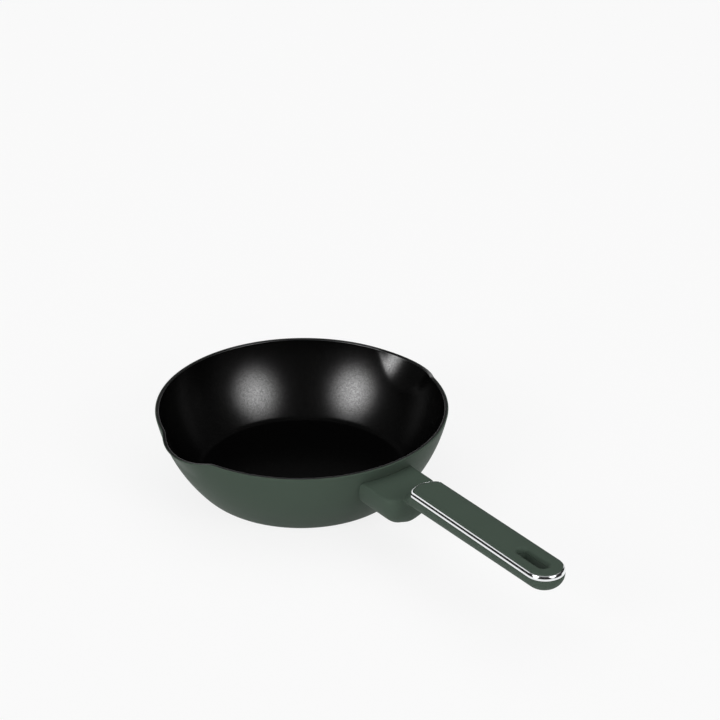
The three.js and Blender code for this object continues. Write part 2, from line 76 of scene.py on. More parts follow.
def curve(start, pull, end, steps):
    """Points of a bow from start to end, drawn towards a third point."""
    shares = [i / steps for i in range(steps + 1)]
    return [start * (1 - t) ** 2 + pull * (2 * t * (1 - t)) + end * t ** 2 for t in shares]


def quarter(steps):
    """Sine and cosine of each step of a quarter turn."""
    angles = [math.pi / 2 * i / steps for i in range(steps + 1)]
    return [(math.sin(angle), math.cos(angle)) for angle in angles]


def wall_curve(inset):
    """Foot, belly and top of the bowl's wall, radius first and height second, moved inwards by an inset."""
    foot = Vector((BASE_RADIUS + CORNER_WIDTH, CORNER_HEIGHT))
    top = Vector((RIM_RADIUS, PAN_HEIGHT - RIM_ROUNDING))
    chord = (top - foot).normalized()
    outward = Vector((chord.y, -chord.x))
    belly = (foot + top) / 2 + outward * 2 * WALL_BULGE
    rise = (belly - foot).normalized()
    foot = foot + Vector((-rise.y, rise.x)) * inset
    return foot, belly - outward * inset, top - Vector((inset, 0))


def corner_points(height, wall, edge=None, run=0):
    """The rounded corner from a flat into the foot of a wall; the flat ends at its edge, or a run short
    of where the wall would meet it."""
    foot, belly = wall[:2]
    meet = foot.x - (foot.y - height) * (belly.x - foot.x) / (belly.y - foot.y)
    start = edge or meet - run
    return curve(Vector((start, height)), Vector((meet, height)), foot, CORNER_STEPS)


def flat_points(start, end, height):
    """Points along a flat, from one radius to another."""
    return [Vector((start + (end - start) * i / FLAT_STEPS, height)) for i in range(FLAT_STEPS + 1)]


def plain_turn(radius, height, turn):
    """A point of a plain turned form, at a turn from +X."""
    return radius * math.cos(turn), radius * math.sin(turn), height


def with_lip(radius, height, turn):
    """A point of the bowl, drawn out and down where a pouring lip runs: a rounded groove that narrows and
    runs out down the wall, with an eased crease at its sides."""
    strength = 1 - (PAN_HEIGHT - height) / LIP_DEPTH
    if strength > 0:
        from_lip = min(math.degrees(math.acos(math.cos(turn - math.radians(lip)))) for lip in LIP_TURNS)
        half_angle = LIP_HALF_ANGLE * strength ** (1 / LIP_NARROWING)
        bow = 1 - (from_lip / half_angle) ** 2
        groove = (bow + math.hypot(bow, LIP_EASE)) / (1 + math.hypot(1, LIP_EASE))
        swell = strength ** LIP_FADE * groove
        radius += LIP_REACH * swell
        height -= LIP_DIP * swell
    return plain_turn(radius, height, turn)


def skin(name, rings, loop=False):
    """A mesh over rings of points, counterclockwise from above and listed upwards on the outside, with
    flat ends unless the rings close into a loop."""
    count = len(rings[0])
    spans = len(rings) if loop else len(rings) - 1
    faces = []
    for level in range(spans):
        here = level * count
        there = (level + 1) % len(rings) * count
        for i in range(count):
            following = (i + 1) % count
            faces.append((here + i, here + following, there + following, there + i))
    if not loop:
        faces.append(tuple(reversed(range(count))))
        faces.append(tuple(range(spans * count, spans * count + count)))
    mesh = bpy.data.meshes.new(name)
    mesh.from_pydata([Vector(point) * MM for ring in rings for point in ring], [], faces)
    piece = bpy.data.objects.new(name, mesh)
    bpy.context.scene.collection.objects.link(piece)
    return piece


def turned(name, profile, place=plain_turn):
    """A mesh turned about +Z from a profile that runs from the underside outwards, up and back in."""
    turns = [2 * math.pi * i / BOWL_FACETS for i in range(BOWL_FACETS)]
    return skin(name, [[place(point.x, point.y, turn) for turn in turns] for point in profile])


def smooth(piece, angle):
    """Smooth shading, with edges kept where faces meet at more than an angle in degrees."""
    piece.data.shade_smooth()
    piece.data.set_sharp_from_angle(angle=math.radians(angle))


outer_wall = wall_curve(0)
inner_wall = wall_curve(WALL_THICKNESS)
floor_corner = corner_points(FLOOR_THICKNESS, inner_wall, run=FLOOR_FILLET)
rim_outer = [Vector((RIM_RADIUS - RIM_ROUNDING * (1 - c), PAN_HEIGHT - RIM_ROUNDING * (1 - s)))
             for s, c in quarter(RIM_STEPS)]
rim_inner = [Vector((2 * RIM_RADIUS - WALL_THICKNESS - point.x, point.y)) for point in reversed(rim_outer)]
runs = [
    ("bare", flat_points(CAP_RADIUS, POCKET_RADIUS, POCKET_DEPTH)),
    ("bare", flat_points(POCKET_RADIUS, BASE_RADIUS, 0)),
    ("lacquer", corner_points(0, outer_wall, edge=BASE_RADIUS)[1:]),
    ("lacquer", curve(*outer_wall, WALL_STEPS)[1:]),
    ("lacquer", rim_outer[1:]),
    ("rim", rim_inner),
    ("coat", curve(*inner_wall, WALL_STEPS)[-2::-1]),
    ("coat", floor_corner[-2::-1]),
    ("coat", flat_points(floor_corner[0].x, CAP_RADIUS, FLOOR_THICKNESS)[1:]),
]
finishes = ["lacquer", "coat", "rim", "bare"]
pan_body = turned("bowl", [point for finish, run in runs for point in run], with_lip)
finish_of_level = [finishes.index(finish) for finish, run in runs for point in run]
for face in pan_body.data.polygons:
    level = min(face.index // BOWL_FACETS, len(finish_of_level) - 2) + 1
    face.material_index = finish_of_level[level]
pan_body.data.polygons[-2].material_index = finishes.index("bare")
smooth(pan_body, BOWL_CREASE)


def colour(code):
    """Linear colour of an sRGB hex code."""
    shares = [int(code[i:i + 2], 16) / 255 for i in (1, 3, 5)]
    return [c / 12.92 if c <= 0.04045 else ((c + 0.055) / 1.055) ** 2.4 for c in shares] + [1]


def node(material, kind, sockets, **settings):
    """Adds a shader node: settings are its options, sockets the values or outputs that feed its inputs, by
    their names or numbers."""
    tree = material.node_tree
    made = tree.nodes.new("ShaderNode" + kind)
    for name, value in settings.items():
        setattr(made, name, value)
    for name, value in sockets.items():
        if isinstance(value, bpy.types.NodeSocket):
            tree.links.new(value, made.inputs[name])
        else:
            made.inputs[name].default_value = value
    return made


def new_material(name):
    """An empty material, ready for its nodes."""
    material = bpy.data.materials.new(name)
    material.use_nodes = True
    material.node_tree.nodes.clear()
    return material


def per(width):
    """Scale of a pattern whose marks have a real width in millimetres."""
    return 1 / (width * MM)


# Green lacquer gives an even satin skin with the faint orange peel of a sprayed and baked coat.
PEEL_WIDTH = 2.5
PEEL_HEIGHT = 0.05
LACQUER_CLOUD = 40
lacquer = new_material("green_lacquer")
place = node(lacquer, "TexCoord", {}).outputs["Object"]
peel = node(lacquer, "TexNoise", {"Vector": place, "Scale": per(PEEL_WIDTH), "Detail": 2}).outputs["Fac"]
cloud = node(lacquer, "TexNoise", {"Vector": place, "Scale": per(LACQUER_CLOUD), "Detail": 3}).outputs["Fac"]
tint = node(lacquer, "ValToRGB", {"Fac": cloud})
tint.color_ramp.elements[0].color = colour("#434f46")
tint.color_ramp.elements[1].color = colour("#475349")
shine = node(lacquer, "MapRange", {"Value": peel, "To Min": 0.42, "To Max": 0.5}).outputs["Result"]
relief = node(lacquer, "Bump", {
    "Strength": 0.12, "Distance": PEEL_HEIGHT * MM, "Height": peel}).outputs["Normal"]
skin_shader = node(lacquer, "BsdfPrincipled", {
    "Base Color": tint.outputs["Color"], "Roughness": shine,
    "Specular IOR Level": 0.04, "Normal": relief})
node(lacquer, "OutputMaterial", {"Surface": skin_shader.outputs["BSDF"]})

# Black nonstick coat is nearly black, with a fine mineral grain that sparkles where the lamps glance off it.
# The grain is drawn coarser than the real third of a millimetre, so that it shows at this size. One wall of
# the bowl mirrors the glints of the other wall only faintly.
GRAIN_WIDTH = 0.55
GRAIN_HEIGHT = 0.06
FLECK_WIDTH = 0.8
SECOND_GLINT = 0.1
coat = new_material("black_nonstick_coat")
place = node(coat, "TexCoord", {}).outputs["Object"]
grain = node(coat, "TexNoise", {"Vector": place, "Scale": per(GRAIN_WIDTH), "Detail": 2}).outputs["Fac"]
flecks = node(coat, "TexVoronoi", {"Vector": place, "Scale": per(FLECK_WIDTH)}).outputs["Color"]
tint = node(coat, "ValToRGB", {"Fac": flecks})
tint.color_ramp.elements[0].color = colour("#020202")
tint.color_ramp.elements[1].color = colour("#060606")
shine = node(coat, "MapRange", {"Value": grain, "To Min": 0.17, "To Max": 0.25}).outputs["Result"]
sparkle = node(coat, "MapRange", {"Value": flecks, "To Min": 0.5, "To Max": 1}).outputs["Result"]
mirrored_ray = node(coat, "LightPath", {}).outputs["Is Glossy Ray"]
glint = node(coat, "MapRange", {
    "Value": mirrored_ray, "To Min": 1, "To Max": SECOND_GLINT}).outputs["Result"]
sparkle = node(coat, "Math", {0: sparkle, 1: glint}, operation="MULTIPLY").outputs["Value"]
relief = node(coat, "Bump", {
    "Strength": 0.3, "Distance": GRAIN_HEIGHT * MM, "Height": grain}).outputs["Normal"]
skin_shader = node(coat, "BsdfPrincipled", {
    "Base Color": tint.outputs["Color"], "Roughness": shine,
    "Specular IOR Level": sparkle, "Normal": relief})
node(coat, "OutputMaterial", {"Surface": skin_shader.outputs["BSDF"]})

# Nonstick coat on the rim is a satin dark grey, a little lighter than the black coat inside.
RUB_WIDTH = 3
rim_coat = new_material("rim_nonstick_coat")
place = node(rim_coat, "TexCoord", {}).outputs["Object"]
cloud = node(rim_coat, "TexNoise", {"Vector": place, "Scale": per(RUB_WIDTH), "Detail": 3}).outputs["Fac"]
tint = node(rim_coat, "ValToRGB", {"Fac": cloud})
tint.color_ramp.elements[0].color = colour("#121212")
tint.color_ramp.elements[1].color = colour("#1a1a1a")
skin_shader = node(rim_coat, "BsdfPrincipled", {
    "Base Color": tint.outputs["Color"], "Roughness": 0.3, "Specular IOR Level": 1})
node(rim_coat, "OutputMaterial", {"Surface": skin_shader.outputs["BSDF"]})

# Bare turned aluminium shows the rings that the lathe tool leaves round the standing face. They are drawn
# 5 mm apart, coarser than the real ones, so that they show. A wave runs 20 radians in one unit.
RING_SPACING = 5.03
RING_HEIGHT = 0.05
WAVE_RADIANS = 20
bare = new_material("turned_aluminium")
place = node(bare, "TexCoord", {}).outputs["Object"]
ring_scale = 2 * math.pi / WAVE_RADIANS * per(RING_SPACING)
rings = node(bare, "TexWave", {"Vector": place, "Scale": ring_scale, "Distortion": 0.4},
             wave_type="RINGS", rings_direction="Z").outputs["Fac"]
tint = node(bare, "ValToRGB", {"Fac": rings})
tint.color_ramp.elements[0].color = colour("#a4a6a8")
tint.color_ramp.elements[1].color = colour("#c6c8ca")
relief = node(bare, "Bump", {
    "Strength": 0.3, "Distance": RING_HEIGHT * MM, "Height": rings}).outputs["Normal"]
skin_shader = node(bare, "BsdfPrincipled", {
    "Base Color": tint.outputs["Color"], "Metallic": 1, "Roughness": 0.38, "Normal": relief})
node(bare, "OutputMaterial", {"Surface": skin_shader.outputs["BSDF"]})

for material in (lacquer, coat, rim_coat, bare):
    pan_body.data.materials.append(material)
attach(pan_body, "root")
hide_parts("pan_body")

# Induction plate
# A disc of magnetic steel, pressed flush into the underside of the base. The soft aluminium flows into its
# rings of round holes and so holds it.
FIT_GAP = 0.3
PLATE_RADIUS = POCKET_RADIUS - FIT_GAP
PLATE_THICKNESS = POCKET_DEPTH - FIT_GAP
PLATE_EDGE = 0.3
PLATE_CREASE = 30
HOLE_RADIUS = 2.6
HOLE_RINGS = 3
FIRST_RING = 22
RING_STEP = 16
HOLES_PER_RING = 6
HOLE_FACETS = 32
HOLE_PAST = 1
ROUND_FACETS = 64


def bar(name, radius, bottom, top, x=0, y=0, facets=ROUND_FACETS):
    """A round bar along +Z, from one height to another."""
    turns = [2 * math.pi * i / facets for i in range(facets)]
    ends = [[(x + radius * math.cos(turn), y + radius * math.sin(turn), height) for turn in turns]
            for height in (bottom, top)]
    return skin(name, ends)


def shaped(piece, kind, **settings):
    """Works a modifier into a piece's mesh."""
    modifier = piece.modifiers.new(kind, kind)
    for name, value in settings.items():
        setattr(modifier, name, value)
    bpy.context.view_layer.update()
    worked = piece.evaluated_get(bpy.context.evaluated_depsgraph_get())
    piece.data = bpy.data.meshes.new_from_object(worked)
    piece.modifiers.clear()


def cut(piece, tool, operation="DIFFERENCE"):
    """Cuts a piece with a tool, which is used up."""
    shaped(piece, "BOOLEAN", operation=operation, solver="EXACT", object=tool)
    bpy.data.objects.remove(tool)


plate_profile = [Vector(point) for point in (
    (CAP_RADIUS, 0), (PLATE_RADIUS - PLATE_EDGE, 0), (PLATE_RADIUS, PLATE_EDGE),
    (PLATE_RADIUS, PLATE_THICKNESS), (CAP_RADIUS, PLATE_THICKNESS))]
induction_plate = turned("perforated_plate", plate_profile)
for ring in range(HOLE_RINGS):
    hole_count = HOLES_PER_RING * (ring + 1)
    for i in range(hole_count):
        x, y, low = plain_turn(FIRST_RING + RING_STEP * ring, -HOLE_PAST, 2 * math.pi * i / hole_count)
        cut(induction_plate, bar("hole", HOLE_RADIUS, low, PLATE_THICKNESS + HOLE_PAST, x, y, HOLE_FACETS))
smooth(induction_plate, PLATE_CREASE)

# Ground magnetic steel shows straight, fine grinding lines and takes a broad grey sheen.
GRINDING_LENGTH = 24
GRINDING_WIDTH = 0.6
plate_steel = new_material("ground_magnetic_steel")
place = node(plate_steel, "TexCoord", {}).outputs["Object"]
stretch = (1, GRINDING_LENGTH / GRINDING_WIDTH, 1)
drawn = node(plate_steel, "Mapping", {"Vector": place, "Scale": stretch}).outputs["Vector"]
lines = node(plate_steel, "TexNoise", {
    "Vector": drawn, "Scale": per(GRINDING_LENGTH), "Detail": 3}).outputs["Fac"]
tint = node(plate_steel, "ValToRGB", {"Fac": lines})
tint.color_ramp.elements[0].color = colour("#a0a3a6")
tint.color_ramp.elements[1].color = colour("#c2c5c8")
shine = node(plate_steel, "MapRange", {"Value": lines, "To Min": 0.28, "To Max": 0.44}).outputs["Result"]
skin_shader = node(plate_steel, "BsdfPrincipled", {
    "Base Color": tint.outputs["Color"], "Metallic": 1, "Roughness": shine})
node(plate_steel, "OutputMaterial", {"Surface": skin_shader.outputs["BSDF"]})
induction_plate.data.materials.append(plate_steel)
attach(induction_plate, "root")
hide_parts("induction_plate")

# Wall bracket
# A pressed steel pad welded to the bowl, with the tongue that the handle slides over. The handle hides it,
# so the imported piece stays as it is, and its sizes only make room in the handle.
BRACKET_MIDDLE = 43.5
PAD_FRONT = 118.9
PAD_HALF_WIDTH = 15
PAD_HEIGHT = 16
TONGUE_REACH = 24
TONGUE_TIP = RIM_RADIUS + TONGUE_REACH
TONGUE_HALF_WIDTH = 9
TONGUE_THICKNESS = 4

# Pressed steel is a plain mill grey with a faint cloudy scale.
SCALE_WIDTH = 4
bracket_steel = new_material("pressed_steel")
place = node(bracket_steel, "TexCoord", {}).outputs["Object"]
cloud = node(bracket_steel, "TexNoise", {
    "Vector": place, "Scale": per(SCALE_WIDTH), "Detail": 4}).outputs["Fac"]
tint = node(bracket_steel, "ValToRGB", {"Fac": cloud})
tint.color_ramp.elements[0].color = colour("#85888c")
tint.color_ramp.elements[1].color = colour("#9a9da1")
skin_shader = node(bracket_steel, "BsdfPrincipled", {
    "Base Color": tint.outputs["Color"], "Metallic": 1, "Roughness": 0.45})
node(bracket_steel, "OutputMaterial", {"Surface": skin_shader.outputs["BSDF"]})
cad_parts["wall_bracket"].data.materials.clear()
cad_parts["wall_bracket"].data.materials.append(bracket_steel)

# Handle body
# One moulding: the broad root that fits the bowl's wall and the lower half of the grip, which rises out of
# it. It is bored from below for the fixing screw and the two cover screws, and slotted to hang.
ROOT_DROP = 10.8
ROOT_TOP = PAN_HEIGHT - ROOT_DROP
ROOT_HEIGHT = 30.5
ROOT_HALF_WIDTH = 25.4
ROOT_REACH = 35.4
ROOT_FRONT_SWELL = 3.6
ROOT_CORNER = 10.9
ROOT_TOP_EDGE = 2.2
ROOT_FRONT_TUCK = 15.4
ROOT_SECTION_POWER = 2.1
GRIP_STEP = 4.1
GRIP_FRONT = RIM_RADIUS + ROOT_REACH + GRIP_STEP
GRIP_LENGTH = 169.2
GRIP_RISE = 12.9
GRIP_HALF_WIDTH = 15.3
GRIP_END_RADIUS = 16
GRIP_FRONT_SWELL = 3.6
GRIP_FRONT_CORNER = 5
GRIP_DEPTH_FRONT = 15.6
GRIP_DEPTH_END = 13
GRIP_RAKE = 1
GRIP_SECTION_POWER = 2.3
CORNER_LEAN = 0.25
BAND_TOP = ROOT_TOP + GRIP_RISE
BAND_HEIGHT = 4
BAND_BOTTOM = BAND_TOP - BAND_HEIGHT
LEDGE = BAND_BOTTOM - FIT_GAP
GRIP_END = GRIP_FRONT + GRIP_LENGTH
END_CENTRE = GRIP_END - GRIP_END_RADIUS
HANDLE_CREASE = 35
LAST_LEVEL_ANGLE = 84
SECTION_LEVELS = 28
SIDE_STEPS = 40
BEND_STEPS = 12
FRONT_STEPS = 28
END_STEPS = 64


def line(start, end, steps):
    """Points along a straight line, without its end."""
    return [start.lerp(end, i / steps) for i in range(steps)]


def section_levels(power):
    """The quarter turn of a rounded section, from its flat bottom up: how far each level lies down, and
    the part of the width that is left. A power of 2 is an ellipse, more is squarer."""
    angles = [math.radians(LAST_LEVEL_ANGLE * i / SECTION_LEVELS) for i in range(SECTION_LEVELS, -1, -1)]
    return [(math.sin(a) ** (2 / power), math.cos(a) ** (2 / power)) for a in angles]


def mirrored(points):
    """The other half of a plan, from its last point back to its first."""
    return [Vector((point.x, -point.y)) for point in reversed(points)]


def root_ring(side_inset, front_inset, height):
    """One level of the root: straight sides from the bowl outwards and a swelling front."""
    half = ROOT_HALF_WIDTH - side_inset
    front = RIM_RADIUS + ROOT_REACH - front_inset
    shoulder = front - ROOT_FRONT_SWELL
    corner = ROOT_CORNER * half / ROOT_HALF_WIDTH
    swell = shoulder + CORNER_LEAN * corner
    start = Vector((BASE_RADIUS, -half))
    bend = Vector((shoulder - corner, -half))
    middle = Vector((swell, corner - half))
    points = line(start, bend, SIDE_STEPS)
    points += curve(bend, Vector((shoulder, -half)), middle, BEND_STEPS)[:-1]
    far_middle = Vector((swell, half - corner))
    points += curve(middle, Vector((2 * front - swell, 0)), far_middle, FRONT_STEPS)[:-1]
    points += mirrored(curve(bend, Vector((shoulder, -half)), middle, BEND_STEPS))[:-1]
    points += mirrored(line(start, bend, SIDE_STEPS) + [bend])
    return [(point.x, point.y, height) for point in points]


def grip_plan(inset, front_run=0):
    """The plan of the grip, from its front corner round the half-round end and back over the front."""
    front = GRIP_FRONT + inset - front_run
    half = GRIP_HALF_WIDTH - inset
    end_radius = GRIP_END_RADIUS - inset
    corner = GRIP_FRONT_CORNER * half / GRIP_HALF_WIDTH
    shoulder = front + GRIP_FRONT_SWELL
    swell = shoulder - CORNER_LEAN * corner
    bend = Vector((shoulder + corner, -half))
    pull = Vector((shoulder + CORNER_LEAN * corner, -half))
    middle = Vector((swell, corner - half))
    end = Vector((END_CENTRE, -end_radius))
    turns = [math.pi * i / END_STEPS - math.pi / 2 for i in range(END_STEPS)]
    points = line(bend, end, SIDE_STEPS)
    points += [Vector((END_CENTRE + end_radius * math.cos(a), end_radius * math.sin(a))) for a in turns]
    points += mirrored(line(bend, end, SIDE_STEPS) + [end])[:-1]
    points += mirrored(curve(middle, pull, bend, BEND_STEPS))[:-1]
    far_middle = Vector((swell, half - corner))
    points += curve(far_middle, Vector((2 * front - swell, 0)), middle, FRONT_STEPS)[:-1]
    points += curve(middle, pull, bend, BEND_STEPS)[:-1]
    return points


def grip_ring(inset, height):
    """The grip's plan, flat at a height."""
    return [(point.x, point.y, height) for point in grip_plan(inset)]


def grip_depth(x):
    """Depth of the moulding below the band, which thins out towards the end."""
    along = min(max((x - GRIP_FRONT) / GRIP_LENGTH, 0), 1)
    return GRIP_DEPTH_FRONT + (GRIP_DEPTH_END - GRIP_DEPTH_FRONT) * along


root_rings = []
for drop, width in section_levels(ROOT_SECTION_POWER):
    height = ROOT_TOP - ROOT_TOP_EDGE - (ROOT_HEIGHT - ROOT_TOP_EDGE) * drop
    root_rings.append(root_ring(ROOT_HALF_WIDTH * (1 - width), ROOT_FRONT_TUCK * (1 - width), height))
for s, c in quarter(BEND_STEPS)[1:]:
    inset = ROOT_TOP_EDGE * (1 - c)
    root_rings.append(root_ring(inset, inset, ROOT_TOP - ROOT_TOP_EDGE * (1 - s)))
grip_rings = []
for drop, width in section_levels(GRIP_SECTION_POWER):
    inset = GRIP_HALF_WIDTH * (1 - width)
    plan = grip_plan(inset, GRIP_RAKE * GRIP_DEPTH_FRONT * drop + inset)
    grip_rings.append([(point.x, point.y, LEDGE - grip_depth(point.x) * drop) for point in plan])
handle_body = skin("handle_moulding", root_rings)
cut(handle_body, skin("lower_grip", grip_rings), "UNION")

# The two forms are melted into one skin and softened, so that a fillet runs where the grip leaves the root.
# The ledge under the band stays crisp.
VOXEL = 0.7
SOFTENING = 14
CRISP_FROM = 58
CRISP_AT = 62.5
shaped(handle_body, "REMESH", mode="VOXEL", voxel_size=VOXEL * MM)
softened = handle_body.vertex_groups.new(name="softened")
for vertex in handle_body.data.vertices:
    share = (CRISP_AT - vertex.co.z / MM) / (CRISP_AT - CRISP_FROM)
    softened.add([vertex.index], min(max(share, 0), 1), "REPLACE")
shaped(handle_body, "SMOOTH", factor=0.5, iterations=SOFTENING, vertex_group="softened")
handle_body.vertex_groups.clear()

# Bores, the fit against the bowl, the room for the bracket and the hanging slot.
TOOL_GAP = 0.6
SCREW_SETBACK = 8
SCREW_X = TONGUE_TIP - SCREW_SETBACK
SCREW_RADIUS = 2.5
SCREW_HEAD_RADIUS = 4.5
SCREW_PAST_TONGUE = 3
SCREW_TOP = BRACKET_MIDDLE + TONGUE_THICKNESS / 2 + SCREW_PAST_TONGUE + FIT_GAP
SCREW_HOLD = 5
WASHER_SEAT = BRACKET_MIDDLE - TONGUE_THICKNESS / 2 - SCREW_HOLD
SLOT_SETBACK = 29.4
SLOT_MIDDLE = GRIP_END - SLOT_SETBACK
SLOT_LENGTH = 33
SLOT_WIDTH = 9.6
SLOT_LIP = 2.2
SLOT_LIP_DEPTH = 3.4
SLOT_STEPS = 24
BOSS_RADIUS = 4
BOSS_LENGTH = 4.5
BOSS_END = BAND_BOTTOM - BOSS_LENGTH
COVER_SCREW_FROM_FRONT = 34
COVER_SCREW_FROM_SLOT = 16
COVER_SCREWS_X = (GRIP_FRONT + COVER_SCREW_FROM_FRONT, SLOT_MIDDLE - SLOT_LENGTH / 2 - COVER_SCREW_FROM_SLOT)
COVER_SCREW_RADIUS = 1.5
COVER_SCREW_HEAD_RADIUS = 3
COVER_SCREW_HOLD = 3.5
COVER_SCREW_SEAT = BOSS_END - FIT_GAP - COVER_SCREW_HOLD
PAST = 5


def block(name, x_low, x_high, half_width, low, high):
    """A block, the same on both sides of the handle's middle."""
    corners = [(x_low, -half_width), (x_high, -half_width), (x_high, half_width), (x_low, half_width)]
    return skin(name, [[(x, y, height) for x, y in corners] for height in (low, high)])


def bracket_room(front, half_width, thickness):
    """Room round the pad or the tongue of the bracket, open towards the bowl."""
    half = thickness / 2 + FIT_GAP
    return block("bracket_room", BASE_RADIUS - PAST, front + FIT_GAP, half_width + FIT_GAP,
                 BRACKET_MIDDLE - half, BRACKET_MIDDLE + half)


def slot_ring(flare, height):
    """The outline of the hanging slot, widened by a flare, at a height."""
    radius = SLOT_WIDTH / 2 + flare
    reach = (SLOT_LENGTH - SLOT_WIDTH) / 2
    turns = [math.pi * i / SLOT_STEPS - math.pi / 2 for i in range(SLOT_STEPS + 1)]
    far = [(SLOT_MIDDLE + reach + radius * math.cos(a), radius * math.sin(a), height) for a in turns]
    near = [(SLOT_MIDDLE - reach - radius * math.cos(a), -radius * math.sin(a), height) for a in turns]
    return far + near


room_wall = wall_curve(-FIT_GAP)
room_profile = [Vector((CAP_RADIUS, -FIT_GAP))] + corner_points(-FIT_GAP, room_wall, edge=BASE_RADIUS)
room_profile += curve(*room_wall, WALL_STEPS)[1:] + [Vector((CAP_RADIUS, PAN_HEIGHT))]
cut(handle_body, turned("bowl_room", room_profile))
cut(handle_body, bracket_room(PAD_FRONT, PAD_HALF_WIDTH, PAD_HEIGHT))
cut(handle_body, bracket_room(TONGUE_TIP, TONGUE_HALF_WIDTH, TONGUE_THICKNESS))
cut(handle_body, bar("bore", SCREW_RADIUS + FIT_GAP, 0, SCREW_TOP, SCREW_X))
cut(handle_body, bar("head_room", SCREW_HEAD_RADIUS + TOOL_GAP, 0, WASHER_SEAT, SCREW_X))
for x in COVER_SCREWS_X:
    cut(handle_body, bar("socket", BOSS_RADIUS + FIT_GAP, BOSS_END - FIT_GAP, LEDGE + PAST, x))
    cut(handle_body, bar("bore", COVER_SCREW_RADIUS + FIT_GAP, 0, LEDGE, x))
    cut(handle_body, bar("head_room", COVER_SCREW_HEAD_RADIUS + TOOL_GAP, 0, COVER_SCREW_SEAT, x))
underside = LEDGE - grip_depth(SLOT_MIDDLE)
slot_rings = [slot_ring(SLOT_LIP, underside - PAST)]
for s, c in reversed(quarter(BEND_STEPS)):
    slot_rings.append(slot_ring(SLOT_LIP * (1 - c), underside + SLOT_LIP_DEPTH * (1 - s)))
slot_rings.append(slot_ring(0, LEDGE + PAST))
cut(handle_body, skin("slot", slot_rings))
smooth(handle_body, HANDLE_CREASE)

# Soft-touch paint is dead matt, with a fine pebble that only breaks up the light.
PEBBLE_WIDTH = 0.8
PEBBLE_HEIGHT = 0.05
SOFT_TOUCH_CLOUD = 30
soft_touch = new_material("green_soft_touch")
place = node(soft_touch, "TexCoord", {}).outputs["Object"]
pebble = node(soft_touch, "TexNoise", {
    "Vector": place, "Scale": per(PEBBLE_WIDTH), "Detail": 2}).outputs["Fac"]
cloud = node(soft_touch, "TexNoise", {
    "Vector": place, "Scale": per(SOFT_TOUCH_CLOUD), "Detail": 3}).outputs["Fac"]
tint = node(soft_touch, "ValToRGB", {"Fac": cloud})
tint.color_ramp.elements[0].color = colour("#424f45")
tint.color_ramp.elements[1].color = colour("#465349")
shine = node(soft_touch, "MapRange", {"Value": pebble, "To Min": 0.58, "To Max": 0.72}).outputs["Result"]
relief = node(soft_touch, "Bump", {
    "Strength": 0.15, "Distance": PEBBLE_HEIGHT * MM, "Height": pebble}).outputs["Normal"]
skin_shader = node(soft_touch, "BsdfPrincipled", {
    "Base Color": tint.outputs["Color"], "Roughness": shine,
    "Specular IOR Level": 0.15, "Normal": relief})
node(soft_touch, "OutputMaterial", {"Surface": skin_shader.outputs["BSDF"]})
handle_body.data.materials.clear()
handle_body.data.materials.append(soft_touch)
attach(handle_body, "root")
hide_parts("handle_body")

# Trim band
# A chromed band round the top of the grip, its outer shoulder chamfered below and rounded above. Its inner
# flange is trapped between the moulding and the cover.
BAND_RIM = 1.6
BAND_SHOULDER = 2.2
BAND_CHAMFER = Vector((0.5, 1.1))
BAND_CREST = 0.15
BAND_EASE = 0.12
BAND_EDGE = 0.25
BAND_CREASE = 50
FLANGE_WIDTH = 3
FLANGE_THICKNESS = 1.6
FLANGE_TOP = BAND_BOTTOM + FLANGE_THICKNESS
band_profile = []
for s, c in quarter(RIM_STEPS):
    band_profile.append((BAND_EDGE * (1 - s), BAND_BOTTOM + BAND_EDGE * (1 - c)))
chamfer_foot = Vector((0, BAND_TOP - BAND_SHOULDER))
band_profile += curve(chamfer_foot - Vector((0, BAND_EASE)), chamfer_foot,
                      chamfer_foot + BAND_CHAMFER.normalized() * BAND_EASE, RIM_STEPS)
crest = Vector((BAND_RIM, BAND_TOP))
shoulder_meet = chamfer_foot + BAND_CHAMFER * (BAND_SHOULDER - BAND_CREST) / BAND_CHAMFER.y
rounding = curve(chamfer_foot + BAND_CHAMFER, shoulder_meet, crest, BEND_STEPS)
band_profile += rounding[:-2] + curve(rounding[-2], crest, crest - Vector((0, BAND_EASE)), RIM_STEPS)
band_profile += [(BAND_RIM, FLANGE_TOP), (BAND_RIM + FLANGE_WIDTH, FLANGE_TOP)]
band_profile += [(BAND_RIM + FLANGE_WIDTH, BAND_BOTTOM)]
trim_band = skin("chrome_band", [grip_ring(inset, height) for inset, height in band_profile], loop=True)
smooth(trim_band, BAND_CREASE)

# Bright chrome mirrors the floor and the studio; its roughness wavers a little, as polished plating does.
WIPE_WIDTH = 6
chrome = new_material("bright_chrome")
place = node(chrome, "TexCoord", {}).outputs["Object"]
wipe = node(chrome, "TexNoise", {"Vector": place, "Scale": per(WIPE_WIDTH), "Detail": 3}).outputs["Fac"]
shine = node(chrome, "MapRange", {"Value": wipe, "To Min": 0.04, "To Max": 0.1}).outputs["Result"]
skin_shader = node(chrome, "BsdfPrincipled", {
    "Base Color": colour("#f2f4f5"), "Metallic": 1, "Roughness": shine})
node(chrome, "OutputMaterial", {"Surface": skin_shader.outputs["BSDF"]})
trim_band.data.materials.append(chrome)
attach(trim_band, "root")
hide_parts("trim_band")

